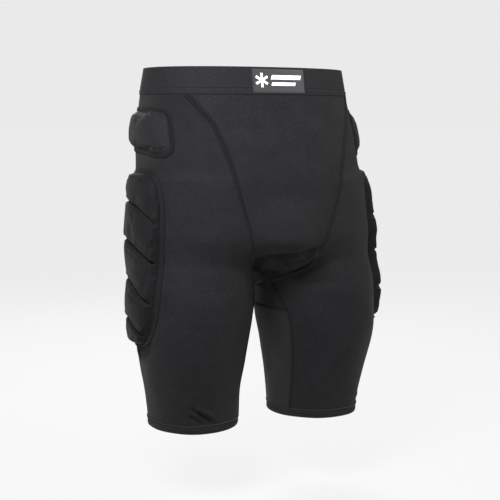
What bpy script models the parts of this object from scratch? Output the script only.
"""Padded impact shorts for skiing and snowboarding, as separate sewn pieces and foam pads.

Metres, +Z up. The origin is the centre of the waist opening at the waistband's top edge.
-Y is the wearer's front, and the wearer's right is at -X. The body of the shorts is one smooth
closed form, drawn as a blend of a pelvis, two legs and a few soft volumes. Every panel and pad
is a sheet laid on that form. Each leg's pieces stay inside a circle about its hip hinge, and the
pelvis pieces stay outside it, so that a leg can swing with no overlap. A leg's pieces are children
of an empty on that hinge.
"""

import math

import bmesh
import bpy
import numpy as np
from mathutils import Matrix

# Heights below the waistband's top edge.
BAND_HEIGHT = 0.037
HEM_Z = -0.492
HEM_HEIGHT = 0.012

# The pelvis: half width, front and back, each as (height, distance from the origin) points.
HALF_WIDTH = [(0, 0.1445), (-0.037, 0.1508), (-0.10, 0.160), (-0.16, 0.164), (-0.23, 0.1655), (-0.32, 0.168)]
FRONT_Y = [
    (0, -0.101), (-0.037, -0.108), (-0.10, -0.124), (-0.16, -0.136),
    (-0.22, -0.140), (-0.25, -0.132), (-0.28, -0.108), (-0.32, -0.085),
]
BACK_Y = [
    (0, 0.101), (-0.037, 0.106), (-0.10, 0.104), (-0.16, 0.094),
    (-0.22, 0.084), (-0.27, 0.078), (-0.32, 0.07),
]
PELVIS_POWER = 2.25
PELVIS_FLOOR_TOP = -0.225
PELVIS_FLOOR = -0.300
BELOW_FLOOR_SLOPE = 0.6

# A leg: its centre line and its half widths across and along.
LEG_X = [(-0.15, 0.084), (-0.25, 0.088), (-0.32, 0.0935), (-0.40, 0.097), (-0.50, 0.0955)]
LEG_Y = [(-0.15, -0.022), (-0.32, -0.036), (-0.50, -0.034)]
LEG_HALF_X = [
    (-0.15, 0.074), (-0.25, 0.079), (-0.30, 0.0825), (-0.34, 0.0815),
    (-0.40, 0.0735), (-0.44, 0.067), (-0.50, 0.0615),
]
LEG_HALF_Y = [
    (-0.15, 0.080), (-0.25, 0.088), (-0.30, 0.091), (-0.34, 0.088),
    (-0.40, 0.078), (-0.46, 0.068), (-0.50, 0.066),
]
LEG_TOP_Z = -0.15
# How much further out the front of a leg is than its back.
LEG_SKEW = 0.04
ABOVE_LEG_SLOPE = 1.5

# Soft volumes blended in: centre (the X one on both sides), then the three half sizes.
SEAT_VOLUME = ((0.060, 0.030, -0.215), (0.062, 0.074, 0.085))
POUCH_VOLUME = ((0, -0.082, -0.228), (0.050, 0.062, 0.052))
THIGH_VOLUME = ((0.116, -0.060, -0.345), (0.050, 0.052, 0.095))
BLEND = 0.03
CROTCH_BLEND = 0.015

# The hip hinge of each leg, along X, and the circle that parts the leg from the pelvis. The part
# of the body's height in which that circle leaves the body is searched for it in steps.
HINGE_X = 0.090
HINGE_Y = -0.025
HINGE_Z = -0.290
LEG_REACH = 0.156
PELVIS_REACH = 0.1595
RIM_LOW = -0.215
RIM_HIGH = -0.100
RIM_STEP = 0.003

# The front centre panel's half width down to the fan, then by the fan's angle in degrees.
FRONT_SEAM = [
    (-0.037, 0.1235), (-0.065, 0.110), (-0.10, 0.0925), (-0.15, 0.0755),
    (-0.20, 0.0640), (-0.24, 0.0555), (-0.25, 0.0530),
]
FAN_SEAM = [(0, 0.0530), (6, 0.048), (13, 0.041), (20, 0.033), (30, 0.022), (40, 0.0135), (50, 0.0100), (180, 0.0100)]
FAN_Y = -0.020
FAN_Z = -0.250
FAN_END = 48
GUSSET_GAP_TURN = 1
FAN_RADIUS = 0.075

# Where rays to a leg's surface start, and the mesh panel's front and back seams in degrees.
LEG_AXIS_X = 0.090
LEG_AXIS_Y = -0.030
MESH_FRONT = -48
MESH_BACK = -130
# Below this height a leg is a plain tube. Above it, a leg's pieces fan out to the line where they
# meet the pelvis: first along the centre pieces from the seat to the front, then round the hip.
TUBE_TOP_Z = -0.335
SEAT_CORNER_TURN = 188
FRONT_CORNER_TURN = 4
SEAM_TOP_Z = -0.190
UNDER_BACK = 125
UNDER_FRONT = 44
CENTRE_GAP = 0.0020
FRONT_CORNER_HIP_TURN = 27
SEAT_CORNER_HIP_TURN = 172.5
TUBE_SHARE = 0.5

# Fabric thicknesses and the gaps between neighbours.
FABRIC = 0.0012
ELASTIC = 0.0020
HEM_FABRIC = 0.0018
COVER_FABRIC = 0.0009
FOAM = 0.0042
LAYER_GAP = 0.0012
SEAM_GAP = 0.0010
SEAM_GAP_TURN = 0.5

# Pads: centre and half size, in degrees round the body and metres of height.
THIGH_PAD = {"turn": 95.0, "half_turn": 43.0, "z": -0.2585, "half_z": 0.122, "rise": 0.0092}
SEAT_PAD = {"turn": 187.0, "half_turn": 23.0, "z": -0.2475, "half_z": 0.043, "rise": 0.0082}
HIP_PAD = {"turn": 93.0, "half_turn": 31.0, "z": -0.0880, "half_z": 0.0330, "rise": 0.0088}
TAILBONE_PAD = {"turn": 180.0, "half_turn": 22.0, "z": -0.1200, "half_z": 0.050, "rise": 0.0082}
CORNER_ROUNDING = 0.45
DOME_POWER = 8
FOAM_EDGE = 0.74
FOAM_END = 0.78
BLOCK_EDGES = [0.540, 0.135, -0.275, -0.640]
BLOCK_SLANT = 0.137
BLOCK_GAP = 0.022

# The front patch on the waistband.
PATCH_HALF_WIDTH = 0.0405
PATCH_TOP_Z = -0.0028
PATCH_BOTTOM_Z = -0.0350
PATCH_THICKNESS = 0.0006

RAY_STEPS = 170
RAY_REACH = 0.25

# Material name: (colour, roughness). None of them is metal.
FINISHES = {
    "body_fabric": ((0.030, 0.030, 0.033), 0.80),
    "pad_fabric": ((0.022, 0.022, 0.024), 0.85),
    "hip_pad_fabric": ((0.036, 0.036, 0.039), 0.85),
    "mesh_fabric": ((0.022, 0.022, 0.024), 0.90),
    "waist_elastic": ((0.043, 0.043, 0.045), 0.75),
    "patch_fabric": ((0.060, 0.060, 0.064), 0.55),
    "pad_foam": ((0.20, 0.20, 0.21), 0.90),
}


def through(curve, height):
    """The value at each height of a smooth curve with no overshoot through (height, value) points."""
    points = sorted(curve)
    knots = np.array([p[0] for p in points], float)
    values = np.array([p[1] for p in points], float)
    step = np.diff(knots)
    rise = np.diff(values) / step
    slope = np.concatenate([rise[:1], np.zeros(len(step) - 1), rise[-1:]])
    for i in range(1, len(step)):
        if rise[i - 1] * rise[i] > 0:
            slope[i] = 2 * rise[i - 1] * rise[i] / (rise[i - 1] + rise[i])
    height = np.clip(np.asarray(height, float), knots[0], knots[-1])
    i = np.clip(np.searchsorted(knots, height) - 1, 0, len(step) - 1)
    t = (height - knots[i]) / step[i]
    ends = values[i] * (1 + 2 * t) * (1 - t) ** 2 + values[i + 1] * t * t * (3 - 2 * t)
    return ends + step[i] * (slope[i] * t * (1 - t) ** 2 - slope[i + 1] * t * t * (1 - t))


def smooth_min(a, b, width):
    h = np.clip(0.5 + 0.5 * (b - a) / width, 0, 1)
    return b * (1 - h) + a * h - width * h * (1 - h)


def pelvis_depth(x, y, z):
    """About how far a point is outside the pelvis, whose level sections are rounded rectangles."""
    low = np.clip((PELVIS_FLOOR_TOP - z) / (PELVIS_FLOOR_TOP - PELVIS_FLOOR), 0, 1.5)
    shrink = np.sqrt(np.clip(1 - low**2, 1e-4, 1))
    front = through(FRONT_Y, z)
    back = through(BACK_Y, z)
    across = through(HALF_WIDTH, z) * shrink
    along = (back - front) / 2 * shrink
    u = x / across
    v = np.abs(y - (front + back) / 2) / along
    size = (u**PELVIS_POWER + v**PELVIS_POWER) ** (1 / PELVIS_POWER)
    return (size - 1) * np.minimum(across, along) + np.maximum(low - 1, 0) * BELOW_FLOOR_SLOPE


def leg_depth(x, y, z):
    across = through(LEG_HALF_X, z)
    along = through(LEG_HALF_Y, z)
    behind = y - through(LEG_Y, z)
    size = np.hypot((x - through(LEG_X, z) + LEG_SKEW * behind) / across, behind / along)
    depth = (size - 1) * np.minimum(across, along)
    return depth + np.maximum(z - LEG_TOP_Z, 0) * ABOVE_LEG_SLOPE


def volume_depth(x, y, z, volume):
    centre, half = volume
    size = np.sqrt(sum(((p - c) / h) ** 2 for p, c, h in zip((x, y, z), centre, half)))
    return (size - 1) * min(half)


def body_depth(points):
    """Negative inside the body of the shorts, zero on its outer surface."""
    x = np.abs(points[..., 0])
    y = points[..., 1]
    z = points[..., 2]
    legs = smooth_min(leg_depth(x, y, z), leg_depth(-x, y, z), CROTCH_BLEND)
    depth = smooth_min(pelvis_depth(x, y, z), legs, BLEND)
    for volume in (SEAT_VOLUME, POUCH_VOLUME, THIGH_VOLUME):
        depth = smooth_min(depth, volume_depth(x, y, z, volume), BLEND)
    return depth


def leave_body(origin, direction):
    """The first points where rays that start inside the body leave it."""
    distance = np.linspace(0, RAY_REACH, RAY_STEPS)
    path = origin[..., None, :] + distance[:, None] * direction[..., None, :]
    depth = body_depth(path)
    first = np.maximum(np.argmax(depth > 0, axis=-1), 1)[..., None]
    inside = np.take_along_axis(depth, first - 1, -1)
    outside = np.take_along_axis(depth, first, -1)
    reach = distance[first - 1] + distance[1] * inside / (inside - outside)
    return origin + reach * direction


def outward(points):
    """The body's unit normal near each point."""
    step = 1e-4
    slope = np.empty_like(points)
    for axis in range(3):
        move = np.zeros(3)
        move[axis] = step
        slope[..., axis] = body_depth(points + move) - body_depth(points - move)
    return slope / np.linalg.norm(slope, axis=-1, keepdims=True)


def level_ray(turn, z, axis_x, axis_y):
    """Where level rays leave the body, at turn degrees from the front (-Y) towards +X."""
    turn, z = np.broadcast_arrays(np.radians(turn), z)
    origin = np.stack([np.full(z.shape, axis_x), np.full(z.shape, axis_y), z], axis=-1)
    direction = np.stack([np.sin(turn), -np.cos(turn), np.zeros(z.shape)], axis=-1)
    return leave_body(origin, direction)


def hip_surface(turn, z):
    return level_ray(turn, z, 0.0, 0.0)


def leg_surface(turn, z):
    return level_ray(turn, z, LEG_AXIS_X, LEG_AXIS_Y)


def hinge_distance(points):
    return np.hypot(points[..., 1] - HINGE_Y, points[..., 2] - HINGE_Z)


def where_lost(steps, margin):
    """The step, read between samples, at which each row's margin first falls below zero."""
    after = np.maximum(np.argmax(margin < 0, axis=-1), 1)[..., None]
    before = after - 1
    inside = np.take_along_axis(margin, before, -1)
    outside = np.take_along_axis(margin, after, -1)
    place = steps[before] + (steps[after] - steps[before]) * inside / (inside - outside)
    return place[..., 0]


def find_top_of_leg(turn):
    """The height at which a leg's pieces end at each turn about the origin."""
    heights = np.arange(RIM_LOW, RIM_HIGH, RIM_STEP)
    points = hip_surface(turn[..., None], heights)
    return where_lost(heights, LEG_REACH - hinge_distance(points))


def find_bottom_of_hip(turn):
    """The height at which a pelvis panel ends at each turn: the circle about the hip hinge."""
    heights = np.arange(RIM_HIGH, RIM_LOW, -RIM_STEP)
    points = hip_surface(turn[..., None], heights)
    return where_lost(heights, hinge_distance(points) - PELVIS_REACH)


def find_turn_at_front_seam(z):
    """How far round the body, in degrees, the front seam is at each height."""
    turns = np.arange(0, 85, 2.0)
    across = hip_surface(turns, z[..., None])[..., 0]
    return where_lost(turns, through(FRONT_SEAM, z)[..., None] + SEAM_GAP - across)


def hip_panel_surface(s, t):
    """A hip panel: s runs from the front seam to the centre back, t from the waistband down."""
    top = -BAND_HEIGHT - SEAM_GAP
    turn = 90 * np.ones(s.shape)
    for _ in range(5):
        z = top + t * (np.interp(turn, *HIP_BOTTOM) - top)
        front = np.interp(z, *SEAM_TURN)
        turn = front + s * (180 - SEAM_GAP_TURN - front)
    return hip_surface(turn, z)


def centre_point(across, path):
    """A point on the pieces along the centre line, where across is 0 in the middle and 1 at the edge.

    The path runs down the front, round below the crotch and up the seat. It is measured in degrees
    of the fan, and the straight runs before and after the fan are added at the same scale.
    """
    metres_per_degree = math.radians(FAN_RADIUS)
    z = FAN_Z - metres_per_degree * (np.minimum(path, 0) - np.maximum(path - 180, 0))
    angle = np.radians(np.clip(path, 0, 180))
    half = np.where(path < 0, through(FRONT_SEAM, z), through(FAN_SEAM, path))
    origin = np.stack([across * half, np.full(z.shape, FAN_Y), z], axis=-1)
    direction = np.stack([np.zeros(z.shape), -np.cos(angle), -np.sin(angle)], axis=-1)
    return origin, direction


def centre_surface(s, t, start, end):
    """A piece on the centre line: s runs across it from 0 to 1, and t along the path."""
    return leave_body(*centre_point(2 * s - 1, start + t * (end - start)))


def front_path(z):
    """The path's value at a height on the front, above the fan."""
    return (FAN_Z - z) / math.radians(FAN_RADIUS)


def seat_path(z):
    """The path's value at a height on the seat, above the fan."""
    return 180 - front_path(z)


def to_surface(points):
    """Moves points near the body's surface onto it."""
    step = 1e-4
    for _ in range(12):
        depth = body_depth(points)
        normal = outward(points)
        slope = (body_depth(points + normal * step) - depth) / step
        points = points - normal * (depth / slope)[..., None]
    return points


def leg_boundary(turn):
    """Where each turn round the leg meets the pelvis pieces."""
    centre_turn = [MESH_BACK, MESH_FRONT, FRONT_CORNER_TURN]
    path = np.where(
        turn < SEAT_CORNER_TURN,
        np.interp(turn, centre_turn, [UNDER_BACK, UNDER_FRONT, front_path(SEAM_TOP_Z)]),
        np.interp(turn, [SEAT_CORNER_TURN, MESH_BACK + 360], [seat_path(SEAM_TOP_Z), UNDER_BACK]),
    )
    origin, direction = centre_point(1.0, path)
    origin[..., 0] += CENTRE_GAP
    centre = leave_body(origin, direction)
    corners = [FRONT_CORNER_TURN, SEAT_CORNER_TURN]
    hip_turn = np.interp(turn, corners, [FRONT_CORNER_HIP_TURN, SEAT_CORNER_HIP_TURN])
    hip = hip_surface(hip_turn, np.interp(hip_turn, *LEG_TOP))
    on_hip = (turn > FRONT_CORNER_TURN) & (turn < SEAT_CORNER_TURN)
    return np.where(on_hip[..., None], hip, centre)


def leg_panel_surface(s, t, first, last):
    """A leg panel: s runs round the leg from the first to the last turn, t from its top down."""
    turn = first + s * (last - first)
    bottom = HEM_Z + HEM_HEIGHT + SEAM_GAP
    tube_z = TUBE_TOP_Z + (t - TUBE_SHARE) / (1 - TUBE_SHARE) * (bottom - TUBE_TOP_Z)
    tube = leg_surface(turn, np.minimum(tube_z, TUBE_TOP_Z))
    top = leg_boundary(turn)
    upper = to_surface(top + np.minimum(t / TUBE_SHARE, 1)[..., None] * (tube - top))
    return np.where((t < TUBE_SHARE)[..., None], upper, tube)


def band_surface(s, t, top, bottom, surface):
    """A closed band of the body: s runs once round, and t from its top edge to its bottom edge."""
    return surface(360 * s, top + t * (bottom - top))


def rounded(u, v):
    """Rounds the corners of the square -1 to 1."""
    return u * np.sqrt(1 - CORNER_ROUNDING * v**2 / 2), v * np.sqrt(1 - CORNER_ROUNDING * u**2 / 2)


def on_pad(u, v, pad, surface, height):
    """Points a given height above the body, at u round and v up a pad."""
    across, up = rounded(u, v)
    points = surface(pad["turn"] + across * pad["half_turn"], pad["z"] + up * pad["half_z"])
    return points + outward(points) * np.asarray(height)[..., None]


def cover_surface(s, t, pad, surface):
    """A pad's cover: it rises steeply from its sewn edge and is nearly flat over the foam."""
    u = 2 * s - 1
    v = 1 - 2 * t
    dome = (1 - np.abs(u) ** DOME_POWER) * (1 - np.abs(v) ** DOME_POWER)
    edge = LAYER_GAP + COVER_FABRIC
    return on_pad(u, v, pad, surface, edge + (pad["rise"] - edge) * dome)


def foam_surface(s, t, pad, surface, top=None, bottom=None):
    """A pad's foam, or the block of it between two slanting grooves (None is the pad's own end)."""
    u = FOAM_EDGE * (2 * s - 1)
    slant = BLOCK_SLANT * u
    high = FOAM_END if top is None else np.minimum(top - BLOCK_GAP + slant, FOAM_END)
    low = -FOAM_END if bottom is None else np.maximum(bottom + BLOCK_GAP + slant, -FOAM_END)
    height = np.full(s.shape, LAYER_GAP + FOAM)
    return on_pad(u, high + t * (low - high), pad, surface, height)


def patch_surface(s, t):
    x = PATCH_HALF_WIDTH * (2 * s - 1)
    z = PATCH_TOP_Z + t * (PATCH_BOTTOM_Z - PATCH_TOP_Z)
    origin = np.stack([x, np.zeros(x.shape), z], axis=-1)
    points = leave_body(origin, np.broadcast_to([0.0, -1.0, 0.0], origin.shape))
    return points + outward(points) * (LAYER_GAP + PATCH_THICKNESS)


def make_material(name):
    colour, roughness = FINISHES[name]
    material = bpy.data.materials.new(name)
    material.use_nodes = True
    shader = material.node_tree.nodes["Principled BSDF"]
    shader.inputs["Base Color"].default_value = (*colour, 1)
    shader.inputs["Roughness"].default_value = roughness
    shader.inputs["Metallic"].default_value = 0
    material.diffuse_color = (*colour, 1)
    return material


def finish_sheet(name, bm, thickness, material, hinge):
    """Makes the sheet an object whose thickness lies behind its outer face."""
    mesh = bpy.data.meshes.new(name)
    bm.to_mesh(mesh)
    bm.free()
    mesh.shade_smooth()
    mesh.materials.append(materials[material])
    sheet = bpy.data.objects.new(name, mesh)
    shorts.objects.link(sheet)
    solidify = sheet.modifiers.new("thickness", "SOLIDIFY")
    solidify.thickness = thickness
    solidify.offset = -1
    solidify.use_even_offset = False
    if hinge:
        sheet.parent = hinge
        sheet.matrix_parent_inverse = Matrix.Translation(hinge.location).inverted()


def face_outwards(bm):
    """Turns the faces to the body's outside."""
    bm.normal_update()
    face = max(bm.faces, key=lambda f: f.calc_area())
    centre = np.array(face.calc_center_median())
    if np.dot(outward(centre), face.normal) < 0:
        bmesh.ops.reverse_faces(bm, faces=bm.faces)


def patch_sheet(name, surface, columns, rows, thickness, material, side=1, hinge=None):
    """A sheet over surface(s, t), for s and t from 0 to 1. side is -1 for the mirrored copy."""
    bm = bmesh.new()
    bmesh.ops.create_grid(bm, x_segments=columns, y_segments=rows, size=0.5)
    s = np.array([v.co.x + 0.5 for v in bm.verts])
    t = np.array([0.5 - v.co.y for v in bm.verts])
    for vertex, place in zip(bm.verts, surface(s, t)):
        vertex.co = (side * place[0], place[1], place[2])
    face_outwards(bm)
    finish_sheet(name, bm, thickness, material, hinge)


def ring_sheet(name, surface, columns, thickness, material, side=1, hinge=None):
    """A closed band over surface(s, t), where s runs once round."""
    bm = bmesh.new()
    bmesh.ops.create_cone(bm, segments=columns, radius1=1, radius2=1, depth=1, cap_ends=False)
    s = np.array([math.atan2(v.co.x, -v.co.y) / math.tau for v in bm.verts])
    t = np.array([0.5 - v.co.z for v in bm.verts])
    for vertex, place in zip(bm.verts, surface(s, t)):
        vertex.co = (side * place[0], place[1], place[2])
    face_outwards(bm)
    finish_sheet(name, bm, thickness, material, hinge)


def make_cover(name, pad, surface, columns, rows, material, side=1, hinge=None):
    def cover(s, t):
        return cover_surface(s, t, pad, surface)

    patch_sheet(f"{name}_cover", cover, columns, rows, COVER_FABRIC, material, side, hinge)


def make_foam(name, pad, surface, columns, rows, side=1, hinge=None, top=None, bottom=None):
    def foam(s, t):
        return foam_surface(s, t, pad, surface, top, bottom)

    patch_sheet(name, foam, columns, rows, FOAM, "pad_foam", side, hinge)


def make_waist():
    def band(s, t):
        return band_surface(s, t, 0.0, -BAND_HEIGHT, hip_surface)

    ring_sheet("waistband_elastic", band, 56, ELASTIC, "waist_elastic")
    patch_sheet("waistband_patch", patch_surface, 10, 1, PATCH_THICKNESS, "patch_fabric")


def make_centre():
    """The front centre panel with its pouch, and the strip below the crotch and up the seat."""
    top = front_path(-BAND_HEIGHT - SEAM_GAP)
    end = seat_path(SEAM_TOP_Z)

    def front(s, t):
        return centre_surface(s, t, top, FAN_END)

    def gusset(s, t):
        return centre_surface(s, t, FAN_END + GUSSET_GAP_TURN, end)

    patch_sheet("front_centre_panel", front, 10, 22, FABRIC, "body_fabric")
    patch_sheet("crotch_gusset", gusset, 2, 14, FABRIC, "body_fabric")
    make_cover("tailbone_pad", TAILBONE_PAD, hip_surface, 8, 10, "pad_fabric")
    make_foam("tailbone_pad_foam", TAILBONE_PAD, hip_surface, 5, 4)


def make_hip(word, side):
    patch_sheet(f"{word}_hip_panel", hip_panel_surface, 18, 7, FABRIC, "body_fabric", side)
    make_cover(f"{word}_hip_pad", HIP_PAD, hip_surface, 10, 10, "hip_pad_fabric", side)
    make_foam(f"{word}_hip_pad_foam", HIP_PAD, hip_surface, 5, 4, side)


def make_hinge(word, side):
    """The empty on a leg's hip hinge, which turns about X."""
    hinge = bpy.data.objects.new(f"{word}_hip_hinge", None)
    hinge.location = (side * HINGE_X, HINGE_Y, HINGE_Z)
    shorts.objects.link(hinge)
    return hinge


def make_leg(word, side):
    hinge = make_hinge(word, side)

    def outer(s, t):
        return leg_panel_surface(s, t, MESH_FRONT + SEAM_GAP_TURN, MESH_BACK + 360 - SEAM_GAP_TURN)

    def inner(s, t):
        return leg_panel_surface(s, t, MESH_BACK + SEAM_GAP_TURN, MESH_FRONT - SEAM_GAP_TURN)

    def hem(s, t):
        return band_surface(s, t, HEM_Z + HEM_HEIGHT, HEM_Z, leg_surface)

    patch_sheet(f"{word}_thigh_panel", outer, 26, 12, FABRIC, "body_fabric", side, hinge)
    patch_sheet(f"{word}_inner_thigh_mesh", inner, 6, 8, FABRIC, "mesh_fabric", side, hinge)
    ring_sheet(f"{word}_hem_band", hem, 32, HEM_FABRIC, "body_fabric", side, hinge)
    make_cover(f"{word}_thigh_pad", THIGH_PAD, leg_surface, 10, 18, "pad_fabric", side, hinge)
    edges = [None, *BLOCK_EDGES, None]
    for number, (top, bottom) in enumerate(zip(edges, edges[1:]), 1):
        block = f"{word}_thigh_pad_foam_{number}"
        make_foam(block, THIGH_PAD, leg_surface, 5, 2, side, hinge, top, bottom)
    make_cover(f"{word}_seat_pad", SEAT_PAD, leg_surface, 8, 10, "pad_fabric", side, hinge)
    make_foam(f"{word}_seat_pad_foam", SEAT_PAD, leg_surface, 5, 4, side, hinge)


def table(find, start, stop, step):
    """Samples of a curve that is slow to find, for np.interp."""
    places = np.arange(start, stop, step)
    return places, find(places)


for old in list(bpy.data.objects):
    bpy.data.objects.remove(old)

LEG_TOP = table(find_top_of_leg, 0, 182, 3.0)
HIP_BOTTOM = table(find_bottom_of_hip, 0, 182, 3.0)
SEAM_TURN = table(find_turn_at_front_seam, RIM_LOW, -BAND_HEIGHT + RIM_STEP, RIM_STEP)

shorts = bpy.data.collections.new("padded_impact_shorts")
bpy.context.scene.collection.children.link(shorts)
materials = {name: make_material(name) for name in FINISHES}

make_waist()
make_centre()
for word, side in (("right", -1), ("left", 1)):
    make_hip(word, side)
    make_leg(word, side)
